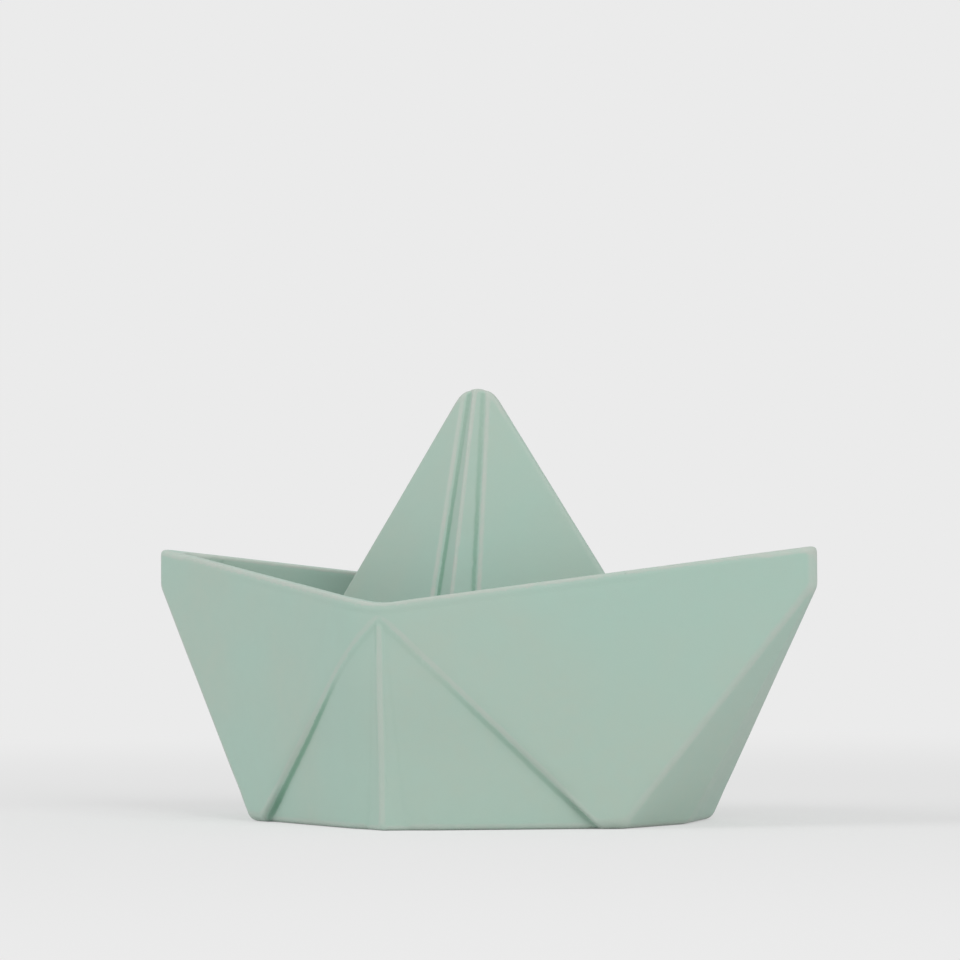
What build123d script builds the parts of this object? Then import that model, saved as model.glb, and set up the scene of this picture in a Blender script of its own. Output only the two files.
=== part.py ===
from build123d import *
import os
from math import atan, atan2, cos, hypot, sin

# A bath toy in the form of a folded paper boat, moulded in one piece: an open hull with thin upright
# sides, and a flat pointed sail that stands up through its middle.
# Millimetres. X runs from stern to bow, Y across the hull and Z up. The origin is in the middle of the
# flat bottom. Both ends are alike, and so are both sides.

# Hull, in plan a long rhombus
TIP_REACH = 69.5          # middle of the hull to where the lines of two sides cross at a tip
SIDE_REACH = 41.1         # middle of the hull to where the lines of two sides cross amidships
RIM_AMIDSHIPS = 40.1      # height of the rim at the side corners
RIM_AT_TIPS = 50.1        # height of the rim at the tips
RIM_DIP_REACH = 3.0       # the dip of the rim is softened this far to both sides of the middle
RIM_RADIUS = 0.8          # rounding along both edges of the rim
WALL = 2.8                # thickness of the sides and of the sloping ends
FLOOR = 3.6               # thickness of the bottom inside the hull
CORNER_RADIUS = 20.0      # upright rounding of the side corners
HULL_RADIUS = 2.0         # rounding of all other outer edges of the hull
WELL_RADIUS = 2.0         # rounding of the edges inside the hull

# Side panels: a long triangle at each end of a side stands proud of the triangle between them
FOLD_FOOT_REACH = 34.9    # middle of the hull to the foot of a diagonal fold, along X
FOLD_TOP_DROP = 0.7       # the lines of a side's two diagonal folds cross this far below the rim
FOLD_RADIUS = 0.5         # rounding of the diagonal folds
SKIN_DEPTH_HIGH = 0.3     # how far the inner skin lies behind the panels, level with the tips
SKIN_DEPTH_LOW = 1.9      # the same at the bottom
SKIN_RADIUS = 1.0         # rounding of the edges of the inner skin
CREASE_DEPTH = 0.4        # how far the upright crease of the skin lies behind the panels' corner
CREASE_RADIUS = 0.6       # rounding of that crease

# Ends: beyond the feet of the panels the hull slopes up and out to the tip
PANEL_FOOT = 3.0          # length of a panel's lower corner along the bottom
KEEL_LEAD = 4.0           # the bottom ends this far beyond the panels' feet, on the centre line
NOSE_DEPTH = 4.5          # height of the upright nose under the rim at a tip

# Sail, a thin pyramid whose two edges lie in the plane of X and Z
SAIL_APEX = 82.9          # height at which the two straight edges of the sail would meet
SAIL_FOOT_REACH = 56.2    # middle of the sail to its straight edges, along X, level with the bottom
SAIL_FOOT_DEPTH = 21.5    # middle of the sail to where two faces meet, along Y, level with the bottom
SAIL_TOP_RADIUS = 5.3     # rounding of the top, seen from the side
SAIL_EDGE = 1.1           # thickness of the sail along its edges
SAIL_EDGE_RADIUS = 0.4    # rounding of those edges
SAIL_INSET = 1.4          # least distance of the sail's foot from the outside of the hull

# Pleats: two grooves run down each face of the sail, one on each side of its middle ridge
GROOVE_AT_APEX = 1.1      # middle of the sail to the bottom of a groove, level with the apex
GROOVE_AT_FOOT = 6.1      # the same level with the bottom
GROOVE_DEPTH = 1.0        # depth of a groove below the sail's face
GROOVE_SIDE = 0.75        # width of the steep outer side of a groove
GROOVE_LIP = 0.6          # width of the shallow lip between that side and the sail's face
LIP_DEPTH = 0.25          # depth of the lip's inner edge below the sail's face
RIDGE_DROP = 0.2          # the middle ridge lies this far below where the two faces would meet
PLEAT_RADIUS = 0.25       # rounding of the grooves, of their outer lips and of the middle ridge

RIM_SHARE = 0.46          # most of the sides' thickness that the rounding of one edge may take
SPARE = 10.0              # what the tools that cut and clip the solids reach past them
TOUCH = 0.05              # how near an edge runs to a line that counts as lying on it

SIDE_ANGLE = atan2(SIDE_REACH, TIP_REACH)
SIDE_LENGTH = hypot(SIDE_REACH, TIP_REACH)
RIM_RISE = (RIM_AT_TIPS - RIM_AMIDSHIPS) / TIP_REACH
RIM_DIP_RADIUS = RIM_DIP_REACH / sin(atan(RIM_RISE))
FOOT_REACH = FOLD_FOOT_REACH + PANEL_FOOT
FOOT_SIDE = SIDE_REACH * (1 - FOOT_REACH / TIP_REACH)
KEEL_REACH = FOOT_REACH + KEEL_LEAD
FOLD_TOP = RIM_AMIDSHIPS - FOLD_TOP_DROP
SAIL_SPREAD = SAIL_FOOT_REACH / SAIL_APEX
SAIL_SWELL = (SAIL_FOOT_DEPTH - SAIL_EDGE / 2) / SAIL_FOOT_REACH
GROOVE_SPREAD = (GROOVE_AT_FOOT - GROOVE_AT_APEX) / SAIL_APEX
FORM_HEIGHT = SAIL_APEX + SPARE
ENDS_AND_SIDES = ((1, 1), (1, -1), (-1, 1), (-1, -1))


def rhombus(inset, height, corner_radius=0.0):
    """Plan outline of the hull, drawn in by inset, as a face at the given height."""
    tip = TIP_REACH - inset / sin(SIDE_ANGLE)
    side = SIDE_REACH - inset / cos(SIDE_ANGLE)
    outline = make_face(Polyline((tip, 0), (0, side), (-tip, 0), (0, -side), close=True))
    if corner_radius > 0:
        amidships = outline.vertices().filter_by(lambda corner: abs(corner.X) < TOUCH)
        outline = fillet(amidships, corner_radius)
    return Pos(0, 0, height) * outline


def rounded(form, radius):
    """The form grown by radius, with all its edges rounded by the same radius."""
    return Part() + form.solids()[0].offset_3d([], radius)


def clip_ends(form, inset):
    """The form without what lies outside the four planes of the sloping ends, drawn in by inset."""
    for end, side in ENDS_AND_SIDES:
        nose = Vector(end * TIP_REACH, 0, RIM_AT_TIPS - NOSE_DEPTH)
        foot = Vector(end * FOOT_REACH, side * FOOT_SIDE, 0)
        keel = Vector(end * KEEL_REACH, 0, 0)
        outward = (keel - nose).cross(foot - nose).normalized() * (end * side)
        slope = Plane(origin=nose - outward * inset, z_dir=outward)
        form = split(form, bisect_by=slope, keep=Keep.BOTTOM)
    return form


def upright_form(inset, bottom, edge_radius):
    """The hull's outer form drawn in by inset, rounded all round and far higher than the rim."""
    core = inset + edge_radius
    plan = rhombus(core, bottom + edge_radius, CORNER_RADIUS - edge_radius)
    return rounded(clip_ends(extrude(plan, amount=FORM_HEIGHT), core), edge_radius)


def skin_body(low_depth, high_depth, corner_radius, edge_radius):
    """A body with the plan of the hull, that deep behind its sides at the bottom and at the tips."""
    lean = (low_depth - high_depth) / RIM_AT_TIPS
    heights = edge_radius, RIM_AT_TIPS
    plans = [rhombus(low_depth + edge_radius - lean * height, height) for height in heights]
    core = loft(plans, ruled=True)
    if corner_radius > edge_radius:
        core = fillet(core.edges().filter_by(on_side_corner), corner_radius - edge_radius)
    for end in (1, -1):
        past_folds = Plane(origin=(end * FOLD_FOOT_REACH, 0, 0), z_dir=(end, 0, 0))
        core = split(core, bisect_by=past_folds, keep=Keep.BOTTOM)
    below_rim = Pos(0, 0, FOLD_TOP - RIM_RADIUS) * Plane.XY
    return split(rounded(core, edge_radius), bisect_by=below_rim, keep=Keep.BOTTOM)


def on_side_corner(edge):
    """True for an edge that runs up a side corner."""
    return abs(edge.position_at(0.5).X) < TOUCH


def inner_skin():
    """The body of the hull behind the open triangles, which leans in towards the bottom."""
    flat_share = cos(SIDE_ANGLE)
    crease_depth = CREASE_DEPTH * flat_share + (CORNER_RADIUS - CREASE_RADIUS) * (1 - flat_share)
    crease = skin_body(crease_depth, crease_depth, 0, CREASE_RADIUS)
    return skin_body(SKIN_DEPTH_LOW, SKIN_DEPTH_HIGH, CORNER_RADIUS, SKIN_RADIUS) + crease


def fold_cutters():
    """Four prisms that open the panels under the diagonal folds, one for each half of a side."""
    foot = FOLD_FOOT_REACH * SIDE_LENGTH / TIP_REACH
    outward = Vector(SIDE_REACH, -TIP_REACH, 0)
    down_fold = Vector(TIP_REACH, SIDE_REACH, 0) * (foot / SIDE_LENGTH) - Vector(0, 0, FOLD_TOP)
    across_fold = Plane(origin=(0, -SIDE_REACH, FOLD_TOP), x_dir=outward, z_dir=down_fold)
    lead = FOLD_RADIUS - TOUCH
    rounding = CenterArc((-lead, -FOLD_RADIUS), FOLD_RADIUS, 0, 90)
    corners = (SPARE, -FOLD_RADIUS), (SPARE, FORM_HEIGHT), (-SPARE, FORM_HEIGHT), (-SPARE, 0)
    outline = make_face([rounding, Polyline(rounding @ 0, *corners, rounding @ 1)])
    prism = extrude(across_fold * outline, amount=FORM_HEIGHT, both=True)
    near_bow = split(prism, bisect_by=Plane.YZ, keep=Keep.TOP)
    near = [near_bow, mirror(near_bow, about=Plane.YZ)]
    return near + [mirror(cutter, about=Plane.XZ) for cutter in near]


def rim_cutter():
    """All that lies above the rim, which dips amidships and rises to both tips."""
    reach = TIP_REACH + SPARE
    ends = RIM_AMIDSHIPS + RIM_RISE * reach
    top = FORM_HEIGHT + SPARE
    corners = (0, RIM_AMIDSHIPS), (reach, ends), (reach, top), (-reach, top), (-reach, ends)
    profile = make_face(Polyline(*corners, close=True))
    profile = fillet(profile.vertices().sort_by(Axis.Y)[0], RIM_DIP_RADIUS)
    return extrude(Plane.XZ * profile, amount=SIDE_REACH + SPARE, both=True)


def on_rim(edge):
    """True for an edge that runs along the rim, not across it."""
    points = [edge.position_at(share) for share in (0, 0.5, 1)]
    lowest = min(point.Z - RIM_AMIDSHIPS - RIM_RISE * abs(point.X) for point in points)
    return lowest > -TOUCH and edge.bounding_box().size.X > TOUCH


def hull():
    """The open hull with its stepped side panels, without the sail."""
    well = upright_form(WALL, FLOOR, WELL_RADIUS)
    panels = upright_form(0, 0, HULL_RADIUS) - well - rim_cutter()
    panels = fillet(panels.edges().filter_by(on_rim), min(RIM_RADIUS, RIM_SHARE * WALL))
    for cutter in fold_cutters():
        panels -= cutter
    return panels + (inner_skin() - well)


def on_sail_outline(edge):
    """True for an edge between a sail face and the sail's own edges or its rounded top."""
    middle = edge.position_at(0.5)
    return min(middle.Z, abs(middle.X), edge.bounding_box().size.Z) > TOUCH


def smooth_sail():
    """The sail without its pleats: its side outline, cut to shape by the four faces."""
    feet = (-SAIL_FOOT_REACH, 0), (SAIL_FOOT_REACH, 0)
    outline = make_face(Polyline(*feet, (0, SAIL_APEX), close=True))
    outline = fillet(outline.vertices().sort_by(Axis.Y)[-1], SAIL_TOP_RADIUS)
    body = extrude(Plane.XZ * outline, amount=SIDE_REACH, both=True)
    for end, side in ENDS_AND_SIDES:
        outward = Vector(end * SAIL_SWELL, side, SAIL_SWELL * SAIL_SPREAD)
        face = Plane(origin=(end * SAIL_FOOT_REACH, side * SAIL_EDGE / 2, 0), z_dir=outward)
        body = split(body, bisect_by=face, keep=Keep.BOTTOM)
    return fillet(body.edges().filter_by(on_sail_outline), SAIL_EDGE_RADIUS)


def face_depth(across, below):
    """How far a sail face lies from the middle plane, at a distance across and below the apex."""
    return SAIL_EDGE / 2 + SAIL_SWELL * (SAIL_SPREAD * below - across)


def pleat_section(height):
    """Section of the cutter that forms both grooves and the ridge between them, at a height."""
    below = SAIL_APEX - height
    groove = GROOVE_AT_APEX + GROOVE_SPREAD * below
    lip = groove + GROOVE_SIDE
    out = lip + SPARE
    rise = SPARE * LIP_DEPTH / GROOVE_LIP
    ridge_depth = face_depth(0, below)
    half = [
        (groove, face_depth(groove, below) - GROOVE_DEPTH),
        (lip, face_depth(lip, below) - LIP_DEPTH),
        (out, face_depth(out, below) - LIP_DEPTH + rise),
        (out, ridge_depth + SPARE),
    ]
    other_half = [(-x, y) for x, y in reversed(half)]
    outline = make_face(Polyline(*other_half, (0, ridge_depth - RIDGE_DROP), *half, close=True))
    folds = outline.vertices().filter_by(lambda corner: abs(corner.X) < lip + TOUCH)
    return Pos(0, 0, height) * fillet(folds, PLEAT_RADIUS)


def sail():
    """The pleated sail, down to inside the hull's floor and its sloping ends."""
    body = smooth_sail()
    pleats = loft([pleat_section(-SPARE), pleat_section(SAIL_APEX)], ruled=True)
    for cutter in (pleats, mirror(pleats, about=Plane.XZ)):
        body -= cutter
    mid_floor = Pos(0, 0, FLOOR / 2) * Plane.XY
    return split(clip_ends(body, SAIL_INSET), bisect_by=mid_floor, keep=Keep.TOP)


if __name__ == "__main__":
    boat = hull() + sail()
    boat.label = "boat"
    os.makedirs("parts", exist_ok=True)
    export_step(boat, "parts/boat.step")
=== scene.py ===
"""Dresses the bath toy in the form of a folded paper boat: its soft rubber, the studio and the camera.

The toy is one moulded piece, so one mesh stands for it. All lengths are in metres, in the frame of
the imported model: X runs from stern to bow, Y across the hull and Z up from the flat bottom.
"""

import logging
import math
from dataclasses import dataclass, field, fields
from enum import Enum
from typing import Any

import bmesh
import bpy
from mathutils import Matrix, Vector

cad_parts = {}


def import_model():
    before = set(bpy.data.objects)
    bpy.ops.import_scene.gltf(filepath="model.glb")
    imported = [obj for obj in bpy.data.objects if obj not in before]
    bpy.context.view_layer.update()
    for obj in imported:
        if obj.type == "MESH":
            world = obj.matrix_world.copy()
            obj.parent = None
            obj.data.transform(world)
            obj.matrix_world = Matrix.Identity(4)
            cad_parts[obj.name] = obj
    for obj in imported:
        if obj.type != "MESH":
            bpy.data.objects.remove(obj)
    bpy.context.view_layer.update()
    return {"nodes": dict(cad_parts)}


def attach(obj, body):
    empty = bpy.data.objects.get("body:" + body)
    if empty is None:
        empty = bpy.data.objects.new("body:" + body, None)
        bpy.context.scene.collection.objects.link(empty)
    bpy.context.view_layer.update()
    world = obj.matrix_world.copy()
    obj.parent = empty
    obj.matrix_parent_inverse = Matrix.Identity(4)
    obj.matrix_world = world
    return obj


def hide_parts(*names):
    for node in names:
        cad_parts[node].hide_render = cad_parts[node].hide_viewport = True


MM = 0.001
Span = tuple[float, float]
Colour = tuple[int, int, int]
Socket = bpy.types.NodeSocket
Number = float | Socket
BACKDROP: Colour = (235, 235, 235)
log = logging.getLogger("folded_boat")


class FoldMark(Enum):
    """Names of the values that the moulding leaves on the mesh for the rubber to read."""

    NARROW = "fold_narrow"
    BROAD = "fold_broad"


@dataclass(frozen=True)
class Point:
    """Sockets with the three coordinates of a point."""

    x: Socket
    y: Socket
    z: Socket


class Bench:
    """Sets nodes into one tree and joins them."""

    def __init__(self, tree: bpy.types.NodeTree) -> None:
        """Keeps the tree that this bench works on."""
        self.tree = tree

    def put(self, kind: str, feeds: dict[Any, Any] | None = None, **settings: Any) -> bpy.types.Node:
        """Adds one node.

        Args:
            kind: The node's type name.
            feeds: What goes into its inputs, by name or number: another node's output or a value.
            settings: Values for the node's own properties.

        Returns:
            The new node.
        """
        node = self.tree.nodes.new(kind)
        for name, value in settings.items():
            setattr(node, name, value)
        for name, value in (feeds or {}).items():
            self.feed(node.inputs[name], value)
        return node

    def feed(self, socket: Socket, value: Any) -> None:
        """Joins another node's output to a socket, or sets the socket's own value.

        Args:
            socket: The input that is fed.
            value: What goes into it.
        """
        if isinstance(value, Socket):
            self.tree.links.new(value, socket)
        else:
            socket.default_value = value

    def reckon(self, operation: str, *values: Number) -> Socket:
        """The result of one Math node, whose operation has a name such as SQRT."""
        return self.put("ShaderNodeMath", dict(enumerate(values)), operation=operation).outputs[0]

    def plus(self, first: Number, second: Number) -> Socket:
        """Two numbers added."""
        return self.reckon("ADD", first, second)

    def minus(self, first: Number, second: Number) -> Socket:
        """The second number taken from the first."""
        return self.reckon("SUBTRACT", first, second)

    def times(self, first: Number, *others: Number) -> Number:
        """Multiplies numbers.

        Args:
            first: The number that is multiplied.
            others: What it is multiplied by, one after the other.

        Returns:
            The output socket.
        """
        for other in others:
            first = self.reckon("MULTIPLY", first, other)
        return first

    def over(self, first: Number, second: Number) -> Socket:
        """The first number divided by the second."""
        return self.reckon("DIVIDE", first, second)

    def power(self, base: Number, exponent: Number) -> Socket:
        """A number raised to a power."""
        return self.reckon("POWER", base, exponent)

    def larger(self, first: Number, second: Number) -> Socket:
        """The larger of two numbers."""
        return self.reckon("MAXIMUM", first, second)

    def smaller(self, first: Number, second: Number) -> Socket:
        """The smaller of two numbers."""
        return self.reckon("MINIMUM", first, second)

    def size(self, value: Number) -> Socket:
        """A number without its sign."""
        return self.reckon("ABSOLUTE", value)

    def sign(self, value: Number) -> Socket:
        """1 for a number above 0 and -1 for one below."""
        return self.reckon("SIGN", value)

    def sloped(self, value: Number, slope: Number, start: Number) -> Socket:
        """A number times a slope, and a start added."""
        return self.reckon("MULTIPLY_ADD", value, slope, start)

    def mix(self, share: Number, first: Number, second: Number) -> Socket:
        """Two numbers mixed: a share of 0 gives the first one and 1 the second."""
        return self.sloped(share, self.minus(second, first), first)

    def ramp(self, value: Number, span: tuple[Number, Number], results: Span = (0.0, 1.0)) -> Socket:
        """A value carried smoothly from one range to another and held at its ends.

        Args:
            value: Number that is read.
            span: Values that give the first and the second result.
            results: The first and the second result.

        Returns:
            The output socket.
        """
        feeds = dict(enumerate((value, *span, *results)))
        return self.put("ShaderNodeMapRange", feeds, interpolation_type="SMOOTHSTEP").outputs["Result"]

    def vector(self, operation: str, first: Any, second: Any = None, scale: Number | None = None) -> Socket:
        """The result of one Vector Math node.

        Args:
            operation: The node's operation, such as SUBTRACT.
            first: First vector or socket.
            second: Second vector or socket, where the operation takes one.
            scale: Number for the operation SCALE.

        Returns:
            The output socket: a number for DOT_PRODUCT and LENGTH, otherwise a vector.
        """
        feeds = {0: first, 1: second, "Scale": scale}
        given = {name: value for name, value in feeds.items() if value is not None}
        node = self.put("ShaderNodeVectorMath", given, operation=operation)
        return node.outputs["Value" if operation in ("DOT_PRODUCT", "LENGTH") else "Vector"]

    def split(self, vector: Socket) -> Point:
        """The three coordinates of a vector."""
        return Point(*self.put("ShaderNodeSeparateXYZ", {0: vector}).outputs)

    def join(self, x: Number = 0.0, y: Number = 0.0, z: Number = 0.0) -> Socket:
        """A vector made of three coordinates."""
        return self.put("ShaderNodeCombineXYZ", {0: x, 1: y, 2: z}).outputs[0]

    def blend(self, share: Number, first: Any, second: Any) -> Socket:
        """Two colours mixed.

        Args:
            share: 0 for the first colour and 1 for the second.
            first: First colour or socket.
            second: Second colour or socket.

        Returns:
            The output socket.
        """
        node = self.put("ShaderNodeMix", data_type="RGBA")
        sockets = {one.identifier: one for one in (*node.inputs, *node.outputs)}
        for name, value in (("Factor_Float", share), ("A_Color", first), ("B_Color", second)):
            self.feed(sockets[name], value)
        return sockets["Result_Color"]


class MouldBench(Bench):
    """A bench for a tree that shapes a mesh."""

    def place(self) -> Socket:
        """Where each point of the mesh lies."""
        return self.put("GeometryNodeInputPosition").outputs[0]

    def normal(self) -> Socket:
        """Which way the mesh faces at each point."""
        return self.put("GeometryNodeInputNormal").outputs[0]

    def smoothed(self, rounds: Number) -> Socket:
        """Where each point would lie after some rounds of moving towards its neighbours."""
        feeds = {"Value": self.place(), "Iterations": rounds}
        return self.put("GeometryNodeBlurAttribute", feeds, data_type="FLOAT_VECTOR").outputs[0]

    def moved(self, shape: Socket, way: Socket, amount: Number = 1.0) -> Socket:
        """The shape with its points moved that way, by the way's own length times the amount."""
        feeds = {"Geometry": shape, "Offset": self.vector("SCALE", way, scale=amount)}
        return self.put("GeometryNodeSetPosition", feeds).outputs[0]


@dataclass(frozen=True)
class HullLines:
    """Lines of the hull that its finish and its soft folds follow."""

    tip_reach: float = 69.5 * MM
    side_reach: float = 41.1 * MM
    corner_radius: float = 20.0 * MM
    rim_amidships: float = 40.1 * MM
    rim_at_tips: float = 50.1 * MM
    rim_dip_reach: float = 3.0 * MM
    rim_radius: float = 0.8 * MM
    rim_margin: float = 0.5 * MM
    rim_height: float = 2.0 * MM
    wall: float = 2.8 * MM
    fold_top: float = 39.4 * MM
    fold_foot: float = 34.9 * MM
    skin_depth_low: float = 1.9 * MM
    skin_depth_high: float = 0.3 * MM
    sail_span: Span = (14.0 * MM, 18.0 * MM)

    @property
    def angle(self) -> float:
        """Angle of a side to the keel line, in radians."""
        return math.atan2(self.side_reach, self.tip_reach)

    @property
    def rim_rise(self) -> float:
        """How much the rim rises for each metre from the middle to a tip."""
        return (self.rim_at_tips - self.rim_amidships) / self.tip_reach

    def under_rim(self, bench: Bench, point: Point) -> Socket:
        """How far a point lies below the rim.

        Args:
            bench: The bench of the tree.
            point: The point's coordinates.

        Returns:
            The output socket, in metres, above 0 under the rim.
        """
        along = bench.size(point.x)
        in_dip = bench.larger(bench.minus(self.rim_dip_reach, along), 0.0)
        dip = bench.times(bench.power(in_dip, 2.0), self.rim_rise / (2 * self.rim_dip_reach))
        rim = bench.plus(bench.sloped(along, self.rim_rise, self.rim_amidships), dip)
        return bench.minus(rim, point.z)

    def under_folds(self, bench: Bench, point: Point) -> Socket:
        """How far a point lies below the diagonal folds of its side.

        Args:
            bench: The bench of the tree.
            point: The point's coordinates.

        Returns:
            The output socket, in metres, above 0 in the open part between the folds.
        """
        sine, cosine = math.sin(self.angle), math.cos(self.angle)
        from_corner = bench.times(bench.minus(self.side_reach, bench.size(point.y)), sine)
        from_corner = bench.sloped(bench.size(point.x), cosine, from_corner)
        drop = self.fold_top * cosine / self.fold_foot
        return bench.minus(bench.sloped(from_corner, -drop, self.fold_top), point.z)

    def skin_depth(self, bench: Bench, point: Point) -> Socket:
        """How far the frame's skin lies behind the sides at a point's height, in metres."""
        lean = (self.skin_depth_low - self.skin_depth_high) / self.rim_at_tips
        return bench.sloped(point.z, -lean, self.skin_depth_low)

    def depth(self, bench: Bench, point: Point, inset: float = 0.0) -> Socket:
        """How far a point lies behind the sides of the hull and their round corners.

        Args:
            bench: The bench of the tree.
            point: The point's coordinates.
            inset: How far the sides are drawn in.

        Returns:
            The output socket, in metres, above 0 towards the inside.
        """
        sine, cosine = math.sin(self.angle), math.cos(self.angle)
        reach = self.side_reach - inset / cosine
        along, across = bench.size(point.x), bench.size(point.y)
        past_centre = bench.minus(across, reach - self.corner_radius / cosine)
        squares = bench.sloped(along, along, bench.power(past_centre, 2.0))
        round_depth = bench.minus(self.corner_radius, bench.reckon("SQRT", squares))
        inward = bench.times(bench.minus(reach, across), cosine)
        flat_depth = bench.minus(inward, bench.times(along, sine))
        in_round = bench.reckon("LESS_THAN", bench.times(along, cosine), bench.times(past_centre, sine))
        return bench.mix(in_round, flat_depth, round_depth)

    def outward(self, bench: Bench, point: Point) -> Socket:
        """Level direction out of the side or the round corner that a point lies on.

        Args:
            bench: The bench of the tree.
            point: The point's coordinates.

        Returns:
            The output socket.
        """
        share = bench.over(bench.size(point.x), self.corner_radius)
        lengthwise = bench.smaller(share, math.sin(self.angle))
        sideways = bench.reckon("SQRT", bench.minus(1.0, bench.power(lengthwise, 2.0)))
        return bench.join(
            bench.times(lengthwise, bench.sign(point.x)), bench.times(sideways, bench.sign(point.y))
        )

    def on_rim(self, bench: Bench, point: Point) -> Socket:
        """A share that is 1 within the wall and near the rim's height, and 0 elsewhere.

        Args:
            bench: The bench of the tree.
            point: The point's coordinates.

        Returns:
            The output socket.
        """
        outside = bench.reckon("GREATER_THAN", self.depth(bench, point), -self.rim_margin)
        inside = bench.reckon("LESS_THAN", self.depth(bench, point, self.wall), self.rim_margin)
        near = bench.reckon("LESS_THAN", self.under_rim(bench, point), self.rim_height)
        return bench.times(near, outside, inside)

    def on_hull(self, bench: Bench, point: Point) -> Socket:
        """A share that is 0 on the sail and 1 on the sides of the hull."""
        return bench.ramp(bench.size(point.y), self.sail_span)


def tone(red: int, fold_shade: int, blue: int) -> tuple[float, float, float, float]:
    """A colour as the eye names it, in steps of 0 to 255, turned into a shader's linear values.

    Args:
        red: Share of red.
        fold_shade: Share of green.
        blue: Share of blue.

    Returns:
        Linear red, green, blue and a full alpha.
    """
    def linear(step: int) -> float:
        """One step on the screen's own curve, made linear."""
        share = step / 255
        return share / 12.92 if share <= 0.04045 else ((share + 0.055) / 1.055) ** 2.4

    return linear(red), linear(fold_shade), linear(blue), 1.0


def cleared(tree: bpy.types.NodeTree) -> Bench:
    """A bench for a tree whose first nodes are taken out."""
    tree.nodes.clear()
    return Bench(tree)


def seen_directly(bench: Bench) -> Socket:
    """Tells what the camera sees, straight or in a gloss, from light on its way.

    Args:
        bench: The bench of a material or of the world.

    Returns:
        A socket that is 1 for what is seen and 0 for light on its way.
    """
    path = bench.put("ShaderNodeLightPath").outputs
    straight = bench.larger(path["Is Camera Ray"], path["Is Glossy Ray"])
    return bench.larger(straight, path["Is Transmission Ray"])


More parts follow.
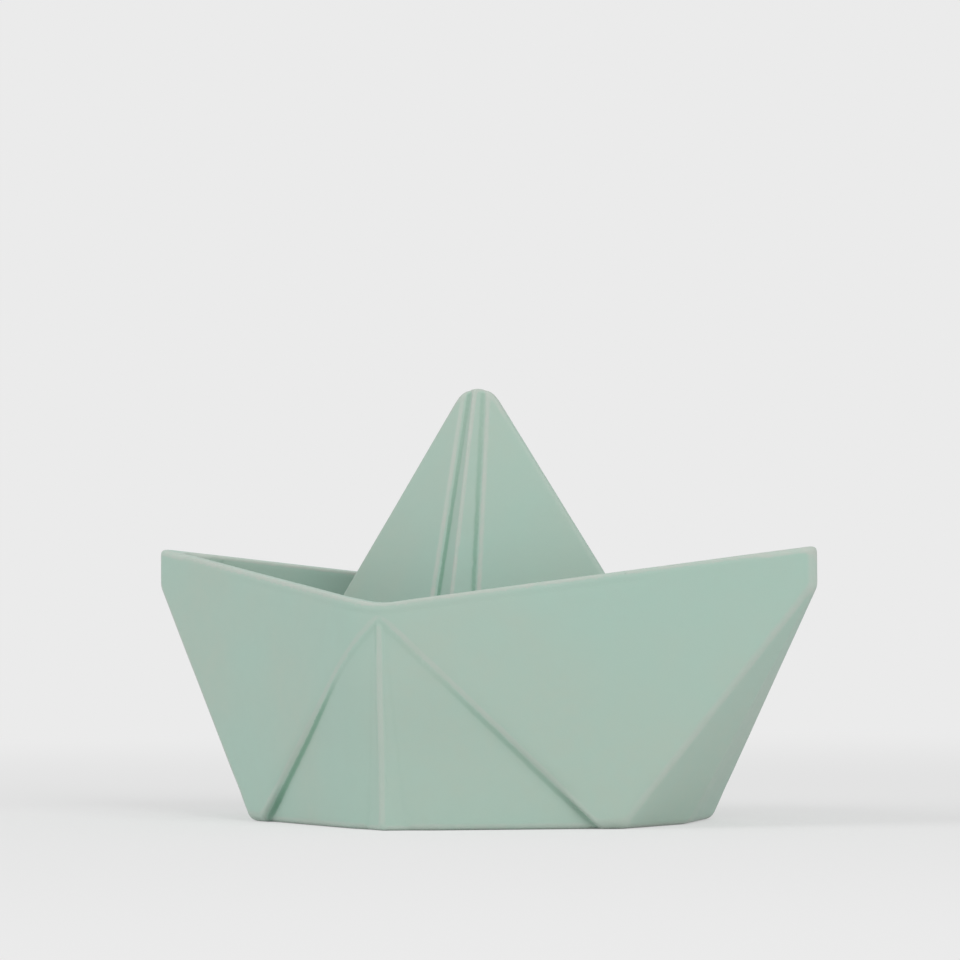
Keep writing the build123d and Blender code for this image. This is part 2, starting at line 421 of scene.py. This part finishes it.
@dataclass(frozen=True)
class MintRubber:
    """Matte natural rubber, mint green: painted shade darkens the folds, and convex edges are paler and
    greyer from wear and a painted highlight.

    A span holds the two readings between which a tone comes in, and shares say how strong it is
    at each of them.
    """

    name: str = "mint_rubber_skin"
    mint: Colour = (167, 191, 179)
    cool_mint: Colour = (164, 193, 180)
    warm_mint: Colour = (171, 188, 175)
    # painted shade: the deeper green laid into folds, grooves and pleats where shade falls
    fold_green: Colour = (104, 150, 126)
    # paler grey on convex edges and the rim: partly wear, partly painted highlight
    worn_highlit_edge: Colour = (184, 191, 183)
    cloud_size: float = 32 * MM
    mottle_size: float = 2.6 * MM
    patch_span: Span = (0.35, 0.65)
    speckle_span: Span = (0.3, 0.7)
    roughness: Span = (0.50, 0.60)
    narrow_span: Span = (0.1, 0.9)
    narrow_shares: Span = (0.0, 0.6)
    broad_span: Span = (0.1, 1.0)
    broad_shares: Span = (0.0, 0.5)
    middle_span: Span = (-1 * MM, 1 * MM)
    pleat_span: Span = (42 * MM, 76 * MM)
    pleat_shares: Span = (1.0, 0.42)
    # painted shade in the pleats: darker low down and stronger on the -X side
    pleat_side_shares: Span = (1.0, 0.75)
    hull_fold_share: float = 0.12
    low_fold_span: Span = (29 * MM, 20 * MM)
    # painted shadow: the low folds on one side of each wall get a stronger shade than the other side
    low_fold_side_shares: Span = (0.34, 0.80)
    beside_crease_span: Span = (4 * MM, 7 * MM)
    # paling of convex edges, partly wear and partly painted highlight
    wear_highlight_span: Span = (-0.25, -0.85)
    wear_highlight_shares: Span = (0.5, 0.9)
    hull_wear_highlight_share: float = 0.62
    below_rim_span: Span = (1 * MM, 2 * MM)
    sail_edge_wear_highlight_share: float = 0.25
    sail_edge_thin_span: Span = (3.0 * MM, 2.0 * MM)
    sail_edge_inner_span: Span = (4.5 * MM, 6.5 * MM)
    sail_edge_outer_span: Span = (40 * MM, 36 * MM)
    sail_edge_low_span: Span = (30 * MM, 34 * MM)
    grain_size: float = 0.28 * MM
    grain_depth: float = 0.018 * MM
    ripple_size: float = 9 * MM
    ripple_depth: float = 0.05 * MM
    lines: HullLines = field(default_factory=HullLines)

    def build(self) -> bpy.types.Material:
        """Mixes the rubber's colour, gloss and touch.

        Returns:
            The finished material.
        """
        material = bpy.data.materials.new(self.name)
        material.use_nodes = True
        bench = cleared(material.node_tree)
        place = bench.put("ShaderNodeTexCoord").outputs["Object"]
        mottle = self._noise(bench, place, self.mottle_size, detail=4.0)
        shader = bench.put(
            "ShaderNodeBsdfPrincipled",
            {
                "Base Color": self._colour(bench, place, mottle),
                "Roughness": bench.ramp(mottle, self.speckle_span, self.roughness),
                "IOR": 1.5,
                "Specular IOR Level": 0.38,
                "Subsurface Weight": 0.12,
                "Subsurface Radius": (1.0, 1.0, 0.9),
                "Subsurface Scale": 1.2 * MM,
                "Sheen Weight": 0.08,
                "Sheen Roughness": 0.5,
                "Normal": self._touch(bench, place),
            },
        )
        bench.put("ShaderNodeOutputMaterial", {"Surface": shader.outputs["BSDF"]})
        return material

    def _noise(self, bench: Bench, place: Socket, size: float, detail: float) -> Socket:
        """A soft random value whose patches are about as large as size.

        Args:
            bench: The bench of the material.
            place: Socket with the point on the surface.
            size: Size of a patch in metres.
            detail: How many finer layers lie in it.

        Returns:
            The output socket, about 0.5 on average.
        """
        feeds = {"Vector": place, "Scale": 1 / size, "Detail": detail, "Roughness": 0.55}
        return bench.put("ShaderNodeTexNoise", feeds).outputs[0]

    def _colour(self, bench: Bench, place: Socket, mottle: Socket) -> Socket:
        """Colour of the rubber, from its clouds, with painted shade in the folds and paler edges from wear
        and a painted highlight.

        Args:
            bench: The bench of the material.
            place: Socket with the point on the surface.
            mottle: Socket with the small patches.

        Returns:
            The output socket.
        """
        point = bench.split(place)
        clouds = bench.ramp(self._noise(bench, place, self.cloud_size, detail=3.0), self.patch_span)
        ground = bench.blend(clouds, tone(*self.cool_mint), tone(*self.warm_mint))
        small = bench.ramp(mottle, self.patch_span, self.patch_span)
        ground = bench.blend(small, ground, tone(*self.mint))
        narrow, broad = (
            bench.put("ShaderNodeAttribute", attribute_name=mark.value).outputs["Fac"]
            for mark in (FoldMark.NARROW, FoldMark.BROAD)
        )
        depth = bench.plus(
            bench.ramp(narrow, self.narrow_span, self.narrow_shares),
            bench.ramp(broad, self.broad_span, self.broad_shares),
        )
        # painted shade, laid where the surface folds in
        fold_shade = bench.times(depth, self._fold_shade_strength(bench, point))
        fold_shaded = bench.blend(fold_shade, ground, tone(*self.fold_green))
        # paler convex edges: partly wear, partly painted highlight
        worn_and_highlit = bench.times(bench.ramp(narrow, self.wear_highlight_span), self._wear_and_highlight_strength(bench, point, mottle))
        return bench.blend(worn_and_highlit, fold_shaded, tone(*self.worn_highlit_edge))

    def _fold_shade_strength(self, bench: Bench, point: Point) -> Socket:
        """How strongly painted shade darkens a fold: most in the sail's pleats and in the hull's folds low
        down, and more on one side as a painted shadow.

        Args:
            bench: The bench of the material.
            point: The point's coordinates.

        Returns:
            The output socket.
        """
        # painted shade in the pleats, darker low down and stronger on the -X side
        pleats = bench.times(
            bench.ramp(point.z, self.pleat_span, self.pleat_shares),
            bench.ramp(point.x, self.middle_span, self.pleat_side_shares),
        )
        # painted shadow: the low folds on one side get a stronger shade, as if the fold's step cast it
        to_left = bench.times(point.x, bench.sign(point.y))
        low_share = bench.ramp(to_left, self.middle_span, self.low_fold_side_shares)
        beside_crease = bench.ramp(bench.size(point.x), self.beside_crease_span)
        low = bench.times(bench.ramp(point.z, self.low_fold_span), beside_crease)
        hull = bench.mix(low, self.hull_fold_share, low_share)
        return bench.mix(self.lines.on_hull(bench, point), pleats, hull)

    def _wear_and_highlight_strength(self, bench: Bench, point: Point, mottle: Socket) -> Socket:
        """How strongly an edge is paled by wear and a painted highlight: less below the rim, and least
        along the sail's side edges.

        Args:
            bench: The bench of the material.
            point: The point's coordinates.
            mottle: Socket with the small patches, which break the paling up.

        Returns:
            The output socket.
        """
        under = bench.ramp(self.lines.under_rim(bench, point), self.below_rim_span)
        below = bench.times(self.lines.on_hull(bench, point), under)
        along = bench.size(point.x)
        sail_edge = bench.times(
            bench.ramp(bench.size(point.y), self.sail_edge_thin_span),
            bench.ramp(along, self.sail_edge_inner_span),
            bench.ramp(point.z, self.sail_edge_low_span),
            bench.ramp(along, self.sail_edge_outer_span),
        )
        return bench.times(
            bench.ramp(mottle, self.speckle_span, self.wear_highlight_shares),
            bench.mix(below, 1.0, self.hull_wear_highlight_share),
            bench.mix(sail_edge, 1.0, self.sail_edge_wear_highlight_share),
        )

    def _touch(self, bench: Bench, place: Socket) -> Socket:
        """Fine grain and slow ripples that the light picks up.

        Args:
            bench: The bench of the material.
            place: Socket with the point on the surface.

        Returns:
            The output socket with the turned normal.
        """
        ripple = self._noise(bench, place, self.ripple_size, detail=1.0)
        feeds = {"Strength": 0.6, "Distance": self.ripple_depth, "Height": ripple}
        slow = bench.put("ShaderNodeBump", feeds).outputs[0]
        grain = self._noise(bench, place, self.grain_size, detail=2.0)
        feeds = {"Strength": 0.5, "Distance": self.grain_depth, "Height": grain, "Normal": slow}
        return bench.put("ShaderNodeBump", feeds).outputs[0]


@dataclass(frozen=True)
class StudioPaper:
    """Pale paper of the floor: it takes the shadow near the boat and fades into the plain backdrop."""

    name: str = "studio_paper"
    backdrop: Colour = BACKDROP
    paper: Colour = (231, 231, 231)
    fibre: Colour = (233, 233, 233)
    fibres_per_metre: float = 900.0
    fade_span: Span = (0.12, 0.42)
    backdrop_shares: Span = (0.5, 1.0)

    def build(self) -> bpy.types.Material:
        """Makes the paper, which gives way to the backdrop further out.

        Returns:
            The finished material.
        """
        material = bpy.data.materials.new(self.name)
        material.use_nodes = True
        bench = cleared(material.node_tree)
        place = bench.put("ShaderNodeTexCoord").outputs["Object"]
        feeds = {"Vector": place, "Scale": self.fibres_per_metre, "Detail": 3.0}
        fibres = bench.put("ShaderNodeTexNoise", feeds).outputs[0]
        paper = bench.blend(fibres, tone(*self.paper), tone(*self.fibre))
        lit = bench.put("ShaderNodeBsdfDiffuse", {"Color": paper}).outputs[0]
        plain = bench.put("ShaderNodeEmission", {"Color": tone(*self.backdrop)}).outputs[0]
        away = bench.ramp(bench.vector("LENGTH", place), self.fade_span, self.backdrop_shares)
        seen = bench.times(away, seen_directly(bench))
        both = bench.put("ShaderNodeMixShader", {0: seen, 1: lit, 2: plain}).outputs[0]
        bench.put("ShaderNodeOutputMaterial", {"Surface": both})
        return material


@dataclass(frozen=True)
class SoftMoulding:
    """Turns the crisp frame into a soft moulding: eased edges and folds, faint waves, nibs on the rim.

    The whole and decimal numbers are the tree's named inputs. A span holds the two readings between
    which a change comes in.
    """

    easing: int = 3
    narrow_reach: int = 5
    broad_reach: int = 70
    narrow_full: float = 0.045 * MM
    broad_full: float = 0.55 * MM
    fold_easing: int = 55
    fold_softness: float = 0.95
    skin_depth: float = 0.25 * MM
    skin_falls_from: float = 31.0 * MM
    skin_falls_to: float = 12.0 * MM
    crease_half_width: float = 0.5 * MM
    crease_depth: float = 0.03 * MM
    crease_line_at: float = -0.75 * MM
    crease_line_width: float = 0.38 * MM
    crease_line_depth: float = 0.16 * MM
    crease_line_foot: float = 31.5 * MM
    crease_line_top: float = 37.6 * MM
    wave_height: float = 0.10 * MM
    wave_middle: float = 0.55
    wave_size: float = 17 * MM
    nib_height: float = 0.22 * MM
    nib_width: float = 0.55 * MM
    nib_spacing: float = 9 * MM
    rim_band: float = 1.2 * MM
    rim_crispness: float = 5.0
    seed: float = 3.0
    crisp_rim_span: Span = (61 * MM, 58 * MM)
    skin_behind_span: Span = (3.8 * MM, 2.8 * MM)
    skin_facing_span: Span = (0.1, 0.5)
    skin_open_span: Span = (-1.2 * MM, -0.4 * MM)
    crease_rise_span: Span = (1.8, 0.7)
    crease_kept_span: Span = (1.0, 2.2)
    crease_top_span: Span = (-2.0 * MM, -0.6 * MM)
    soft_foot_span: Span = (3 * MM, 8 * MM)
    soft_top_span: Span = (1.2 * MM, 2.4 * MM)
    line_facing_span: Span = (0.3, 0.6)
    line_corner_span: Span = (30 * MM, 32 * MM)
    line_foot_span: Span = (-2 * MM, 2 * MM)
    line_top_span: Span = (-0.2 * MM, 0.6 * MM)
    wave_foot_span: Span = (0.5 * MM, 4 * MM)
    nib_under_span: Span = (1.0, 0.6)
    nib_over_span: Span = (-1.0, -0.6)
    lines: HullLines = field(default_factory=HullLines)

    def settings(self) -> dict[str, int | float]:
        """Named inputs of the tree and their values."""
        values = {one.name.replace("_", " ").capitalize(): getattr(self, one.name) for one in fields(self)}
        return {name: value for name, value in values.items() if isinstance(value, (int, float))}

    def build_tree(self, skin: bpy.types.Material) -> bpy.types.NodeTree:
        """The node tree that shapes and marks a mesh.

        Args:
            skin: Material that the tree puts on the mesh.

        Returns:
            The tree, with its sizes as named inputs.
        """
        tree = bpy.data.node_groups.new("soft_moulding", "GeometryNodeTree")
        face = tree.interface
        face.new_socket("Geometry", in_out="INPUT", socket_type="NodeSocketGeometry")
        for name, value in self.settings().items():
            kind = "NodeSocketInt" if isinstance(value, int) else "NodeSocketFloat"
            face.new_socket(name, in_out="INPUT", socket_type=kind)
        face.new_socket("Geometry", in_out="OUTPUT", socket_type="NodeSocketGeometry")
        bench = MouldBench(tree)
        given = {one.name: one for one in bench.put("NodeGroupInput").outputs}
        eased = {"Geometry": given["Geometry"], "Position": bench.smoothed(given["Easing"])}
        shape = bench.put("GeometryNodeSetPosition", eased).outputs[0]
        for inset in (0.0, self.lines.wall):
            shape = self._sharpen_rim(bench, shape, given, inset)
        shape = self._line_crease(bench, shape, given)
        shape = self._mark(bench, shape, FoldMark.NARROW, given["Narrow reach"], given["Narrow full"])
        shape = self._mark(bench, shape, FoldMark.BROAD, given["Broad reach"], given["Broad full"])
        shape = self._fill_skin(bench, shape, given)
        shape = self._soften_folds(bench, shape, given)
        shape = self._wave(bench, shape, given)
        shape = bench.put("GeometryNodeSetShadeSmooth", {"Geometry": shape}).outputs[0]
        shape = bench.put("GeometryNodeRealizeInstances", {"Geometry": shape}).outputs[0]
        shape = bench.put("GeometryNodeSetMaterial", {"Geometry": shape, "Material": skin}).outputs[0]
        bench.put("NodeGroupOutput", {"Geometry": shape})
        return tree

    def _sharpen_rim(
        self, bench: MouldBench, shape: Socket, given: dict[str, Socket], inset: float
    ) -> Socket:
        """Draws the round of one edge of the rim out to a crisper one.

        Args:
            bench: The bench of the tree.
            shape: The shape's socket.
            given: The tree's inputs.
            inset: 0 for the outer edge, or the wall's thickness for the inner one.

        Returns:
            The shape's socket.
        """
        lines, point = self.lines, bench.split(bench.place())
        way = -1.0 if inset else 1.0
        behind = bench.larger(bench.times(lines.depth(bench, point, inset), way), 0.0)
        level = bench.larger(bench.minus(lines.rim_radius, behind), 0.0)
        below = bench.larger(lines.under_rim(bench, point), 0.0)
        upright = bench.larger(bench.minus(lines.rim_radius, below), 0.0)
        squares = bench.plus(bench.power(level, 2.0), bench.power(upright, 2.0))
        crispness = given["Rim crispness"]
        powers = bench.plus(bench.power(level, crispness), bench.power(upright, crispness))
        rounded, crisp = bench.reckon("SQRT", squares), bench.power(powers, bench.over(1.0, crispness))
        grow = bench.minus(bench.larger(bench.over(rounded, crisp), 1.0), 1.0)
        kept = bench.ramp(bench.size(point.x), self.crisp_rim_span)
        grow = bench.times(grow, kept, lines.on_rim(bench, point))
        out = bench.vector("SCALE", lines.outward(bench, point), scale=bench.times(level, grow, way))
        return bench.moved(shape, bench.vector("ADD", out, bench.join(z=bench.times(upright, grow))))

    def _line_crease(self, bench: MouldBench, shape: Socket, given: dict[str, Socket]) -> Socket:
        """Presses a short fine line into the skin beside the upper part of each upright crease.

        Args:
            bench: The bench of the tree.
            shape: The shape's socket.
            given: The tree's inputs.

        Returns:
            The shape's socket.
        """
        normal, point = bench.normal(), bench.split(bench.place())
        side = bench.sign(point.y)
        beside = bench.size(bench.plus(bench.times(point.x, side), given["Crease line at"]))
        above = bench.minus(point.z, given["Crease line foot"])
        below = bench.minus(given["Crease line top"], point.z)
        share = bench.times(
            bench.ramp(bench.over(beside, given["Crease line width"]), (1.0, 0.0)),
            bench.ramp(above, self.line_foot_span),
            bench.ramp(below, self.line_top_span),
            bench.ramp(bench.times(bench.split(normal).y, side), self.line_facing_span),
            bench.ramp(bench.size(point.y), self.line_corner_span),
        )
        return bench.moved(shape, normal, bench.times(share, given["Crease line depth"], -1.0))

    def _mark(
        self, bench: MouldBench, shape: Socket, mark: FoldMark, reach: Socket, full: Socket
    ) -> Socket:
        """Stores how far the surface folds in (above 0) or stands out (below 0) at each point.

        Args:
            bench: The bench of the tree.
            shape: The shape's socket.
            mark: Name that the value is stored under.
            reach: Socket with how many rings of points the value looks across.
            full: Socket with the depth that counts as 1.

        Returns:
            The shape's socket.
        """
        inward = bench.vector("SUBTRACT", bench.smoothed(reach), bench.place())
        share = bench.over(bench.vector("DOT_PRODUCT", inward, bench.normal()), full)
        feeds = {"Geometry": shape, "Name": mark.value, "Value": share}
        node = bench.put("GeometryNodeStoreNamedAttribute", feeds, data_type="FLOAT", domain="POINT")
        return node.outputs[0]

    def _fill_skin(self, bench: MouldBench, shape: Socket, given: dict[str, Socket]) -> Socket:
        """Brings the skin between the folds out, nearly level with the panels high up and less lower down.

        Args:
            bench: The bench of the tree.
            shape: The shape's socket.
            given: The tree's inputs.

        Returns:
            The shape's socket.
        """
        lines, point = self.lines, bench.split(bench.place())
        depth = bench.larger(lines.depth(bench, point), 0.0)
        whole = lines.skin_depth(bench, point)
        high = bench.ramp(point.z, (given["Skin falls to"], given["Skin falls from"]))
        share = bench.smaller(bench.over(depth, whole), 1.0)
        fill = bench.times(bench.minus(whole, given["Skin depth"]), high, share)
        near_crease = bench.ramp(
            bench.over(bench.size(point.x), given["Crease half width"]), self.crease_rise_span
        )
        proud = bench.minus(bench.minus(depth, given["Crease depth"]), fill)
        proud = bench.times(bench.larger(proud, 0.0), near_crease, high)
        outward = lines.outward(bench, point)
        faces = bench.vector("DOT_PRODUCT", bench.normal(), outward)
        amount = bench.times(
            bench.plus(fill, proud),
            bench.ramp(lines.under_folds(bench, point), self.skin_open_span),
            bench.ramp(faces, self.skin_facing_span),
            bench.ramp(depth, self.skin_behind_span),
            lines.on_hull(bench, point),
        )
        return bench.moved(shape, outward, amount)

    def _soften_folds(self, bench: MouldBench, shape: Socket, given: dict[str, Socket]) -> Socket:
        """Lets the hull's diagonal folds run out softly, and leaves the upright crease and the rim crisp.

        Args:
            bench: The bench of the tree.
            shape: The shape's socket.
            given: The tree's inputs.

        Returns:
            The shape's socket.
        """
        place = bench.place()
        point = bench.split(place)
        from_crease = bench.over(bench.size(point.x), given["Crease half width"])
        to_top = bench.minus(point.z, given["Crease line top"])
        share = bench.times(
            given["Fold softness"],
            self.lines.on_hull(bench, point),
            bench.larger(
                bench.ramp(from_crease, self.crease_kept_span), bench.ramp(to_top, self.crease_top_span)
            ),
            bench.ramp(point.z, self.soft_foot_span),
            bench.ramp(self.lines.under_rim(bench, point), self.soft_top_span),
        )
        softer = bench.vector("SUBTRACT", bench.smoothed(given["Fold easing"]), place)
        return bench.moved(shape, softer, share)

    def _wave(self, bench: MouldBench, shape: Socket, given: dict[str, Socket]) -> Socket:
        """Moves the surface in and out in faint waves, and raises nibs on the rim.

        Args:
            bench: The bench of the tree.
            shape: The shape's socket.
            given: The tree's inputs.

        Returns:
            The shape's socket.
        """
        place = bench.place()
        point = bench.split(place)
        scale = bench.over(1.0, given["Wave size"])
        feeds = {"Vector": place, "W": given["Seed"], "Scale": scale, "Detail": 1.0}
        waves = bench.put("ShaderNodeTexNoise", feeds, noise_dimensions="4D").outputs[0]
        sway = bench.times(
            bench.minus(waves, given["Wave middle"]),
            given["Wave height"],
            bench.ramp(point.z, self.wave_foot_span),
        )
        nibs = bench.times(self._nibs(bench, place, point, given), given["Nib height"])
        return bench.moved(shape, bench.normal(), bench.plus(sway, nibs))

    def _nibs(
        self, bench: MouldBench, place: Socket, point: Point, given: dict[str, Socket]
    ) -> Socket:
        """Small domes, spread at random over the top of the rim.

        Args:
            bench: The bench of the tree.
            place: Socket with the point on the surface.
            point: Its three coordinates.
            given: The tree's inputs.

        Returns:
            A socket that is 1 at the top of a nib and 0 away from all nibs.
        """
        spacing = given["Nib spacing"]
        feeds = {"Vector": place, "W": given["Seed"], "Scale": bench.over(1.0, spacing)}
        cells = bench.put("ShaderNodeTexVoronoi", feeds, voronoi_dimensions="4D").outputs
        away = bench.over(bench.times(cells["Distance"], spacing), given["Nib width"])
        under = bench.over(self.lines.under_rim(bench, point), given["Rim band"])
        return bench.times(
            bench.ramp(away, (1.0, 0.0)),
            bench.ramp(under, self.nib_under_span),
            bench.ramp(under, self.nib_over_span),
        )


@dataclass
class FoldedBoat:
    """The whole toy, open hull and pleated sail, moulded as one piece."""

    node_name: str = "boat"
    slot_name: str = "mint_rubber"
    point_spacing: float = 0.30 * MM
    merge_within: float = 0.001 * MM
    most_triangles: int = 190000
    moulding: SoftMoulding = field(default_factory=SoftMoulding)
    rubber: MintRubber = field(default_factory=MintRubber)

    def build(self, node: bpy.types.Object) -> bpy.types.Object:
        """Makes the soft moulding from the node of the frame and dresses it.

        Args:
            node: The frame's boat, which is left as it is.

        Returns:
            The piece that stands for it.
        """
        skin = self.rubber.build()
        fine = self._finely_meshed(node)
        boat = self._moulded(fine, skin)
        bpy.data.objects.remove(fine)
        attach(boat, "root")
        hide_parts(self.node_name)
        return boat

    def _finely_meshed(self, node: bpy.types.Object) -> bpy.types.Object:
        """A merged copy of the node, meshed evenly.

        Args:
            node: The frame's boat.

        Returns:
            A new object whose points lie about point_spacing apart.
        """
        mesh = node.data.copy()
        shell = bmesh.new()
        shell.from_mesh(mesh)
        bmesh.ops.remove_doubles(shell, verts=shell.verts, dist=self.merge_within)
        shell.to_mesh(mesh)
        shell.free()
        even = linked("boat_even", mesh)
        remesh = even.modifiers.new("even", "REMESH")
        remesh.mode = "VOXEL"
        remesh.voxel_size = self.point_spacing
        fine = linked("boat_fine", as_mesh(even, "boat_fine"))
        bpy.data.objects.remove(even)
        return fine

    def _moulded(self, fine: bpy.types.Object, skin: bpy.types.Material) -> bpy.types.Object:
        """The fine mesh, eased and marked by the moulding, with flat areas thinned out again.

        Args:
            fine: The evenly meshed boat.
            skin: Its material.

        Returns:
            The finished piece, a plain mesh without modifiers.
        """
        tree = self.moulding.build_tree(skin)
        shaping = fine.modifiers.new("moulding", "NODES")
        shaping.node_group = tree
        sockets = {one.name: one.identifier for one in tree.interface.items_tree if one.in_out == "INPUT"}
        for name, value in self.moulding.settings().items():
            shaping[sockets[name]] = value
        triangles = 2 * len(fine.data.polygons)
        thinning = fine.modifiers.new("thinning", "DECIMATE")
        thinning.ratio = self.most_triangles / triangles
        thinning.use_collapse_triangulate = True
        return linked("boat_moulded", as_mesh(fine, "boat_moulded"))


def linked(name: str, data: bpy.types.ID) -> bpy.types.Object:
    """Makes a new object and links it into the scene.

    Args:
        name: The object's name.
        data: Its mesh, lamp or camera.

    Returns:
        The new object.
    """
    piece = bpy.data.objects.new(name, data)
    bpy.context.scene.collection.objects.link(piece)
    return piece


def as_mesh(piece: bpy.types.Object, name: str) -> bpy.types.Mesh:
    """Applies all modifiers of an object to a copy of its mesh.

    Args:
        piece: The object.
        name: Name of the new mesh.

    Returns:
        The new mesh.
    """
    ready = piece.evaluated_get(bpy.context.evaluated_depsgraph_get())
    mesh = bpy.data.meshes.new_from_object(ready)
    mesh.name = name
    return mesh


@dataclass(frozen=True)
class SoftLamp:
    """One square soft lamp that points at the middle of the boat.

    Turn and rise are in degrees. A level of 1 alone would light a white surface that faces the lamp
    to full white.
    """

    name: str
    turn: float
    rise: float
    away: float
    width: float
    level: float

    def build(self, target: Vector) -> bpy.types.Object:
        """Hangs the lamp.

        Args:
            target: Point that the lamp looks at.

        Returns:
            The lamp's object.
        """
        lamp = bpy.data.lights.new(self.name, "AREA")
        lamp.shape = "SQUARE"
        lamp.size = self.width
        lamp.energy = self.level * (math.pi * self.away) ** 2
        piece = linked(self.name, lamp)
        turn, rise = math.radians(self.turn), math.radians(self.rise)
        ahead = Vector((math.sin(turn) * math.cos(rise), -math.cos(turn) * math.cos(rise), math.sin(rise)))
        piece.location = target + ahead * self.away
        piece.rotation_euler = ahead.to_track_quat("Z", "Y").to_euler()
        return piece


@dataclass
class Studio:
    """Pale floor, plain backdrop and soft lamps."""

    floor_reach: float = 1.6
    target_height: float = 40 * MM
    daylight: float = 0.56
    backdrop: Colour = BACKDROP
    lamps: tuple[SoftLamp, ...] = (
        SoftLamp("left_lamp", turn=-48.0, rise=35.0, away=1.6, width=0.9, level=0.31),
        SoftLamp("right_lamp", turn=58.0, rise=32.0, away=1.6, width=0.9, level=0.40),
    )
    paper: StudioPaper = field(default_factory=StudioPaper)

    def build(self) -> bpy.types.Object:
        """Lays the floor, lights the world and hangs the lamps.

        Returns:
            The floor's object.
        """
        reach = self.floor_reach
        mesh = bpy.data.meshes.new("studio_floor")
        corners = [(-reach, -reach, 0), (reach, -reach, 0), (reach, reach, 0), (-reach, reach, 0)]
        mesh.from_pydata(corners, [], [(0, 1, 2, 3)])
        mesh.materials.append(self.paper.build())
        floor = linked("studio_floor", mesh)
        self._light_world()
        for lamp in self.lamps:
            lamp.build(Vector((0, 0, self.target_height)))
        return floor

    def _light_world(self) -> None:
        """Gives the world its even daylight, and the plain backdrop that the camera sees."""
        world = bpy.data.worlds.new("studio_world")
        world.use_nodes = True
        bpy.context.scene.world = world
        bench = cleared(world.node_tree)
        light = bench.put("ShaderNodeBackground", {"Color": (1, 1, 1, 1), "Strength": self.daylight})
        plain = bench.put("ShaderNodeBackground", {"Color": tone(*self.backdrop), "Strength": 1.0})
        feeds = {0: seen_directly(bench), 1: light.outputs[0], 2: plain.outputs[0]}
        both = bench.put("ShaderNodeMixShader", feeds).outputs[0]
        bench.put("ShaderNodeOutputWorld", {"Surface": both})


@dataclass(frozen=True)
class PhotoCamera:
    """Camera at the photograph's viewing angle, for an image of 960 by 960 points.

    Turn is in degrees and roll in radians. Scale is in image points for each metre at the boat's
    middle, horizon and axis are image points, and sensor is in millimetres.
    """

    turn: float = 28.0
    away: float = 1.0
    height: float = 54.4 * MM
    scale: float = 5.475 / MM
    image: float = 960.0
    horizon: float = 522.0
    axis: float = 478.3
    roll: float = 0.0076
    sensor: float = 36.0
    nearest: float = 0.01
    farthest: float = 20.0

    def build(self) -> bpy.types.Object:
        """Sets up the camera and makes it the scene's camera.

        Returns:
            The camera's object.
        """
        camera = bpy.data.cameras.new("photo_camera")
        focal = self.scale * self.away
        camera.sensor_width = self.sensor
        camera.lens = focal * self.sensor / self.image
        camera.clip_start = self.nearest
        camera.clip_end = self.farthest
        piece = linked("photo_camera", camera)
        turn = math.radians(self.turn)
        side = math.atan((self.image / 2 - self.axis) / focal)
        tilt = math.atan((self.horizon - self.image / 2) / focal)
        stand = Matrix.Translation((math.sin(turn) * self.away, -math.cos(turn) * self.away, self.height))
        aim = Matrix.Rotation(turn - side, 4, "Z") @ Matrix.Rotation(math.pi / 2 + tilt, 4, "X")
        piece.matrix_world = stand @ aim @ Matrix.Rotation(-self.roll, 4, "Z")
        bpy.context.scene.camera = piece
        return piece


def main() -> None:
    """Builds the boat, the studio and the camera around the frame, and notes the sizes."""
    logging.basicConfig(level=logging.INFO, format="%(name)s: %(message)s")
    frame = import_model()
    boat = FoldedBoat().build(frame["nodes"]["boat"])
    log.info("%s: %d triangles", boat.name, len(boat.data.polygons))
    studio = Studio()
    floor = studio.build()
    log.info("%s and %d lamps stand ready", floor.name, len(studio.lamps))
    camera = PhotoCamera().build()
    log.info("%s looks from %s", camera.name, [round(step, 4) for step in camera.location])
    scene = bpy.context.scene
    scene.view_settings.view_transform = "Standard"


if __name__ == "__main__":
    main()
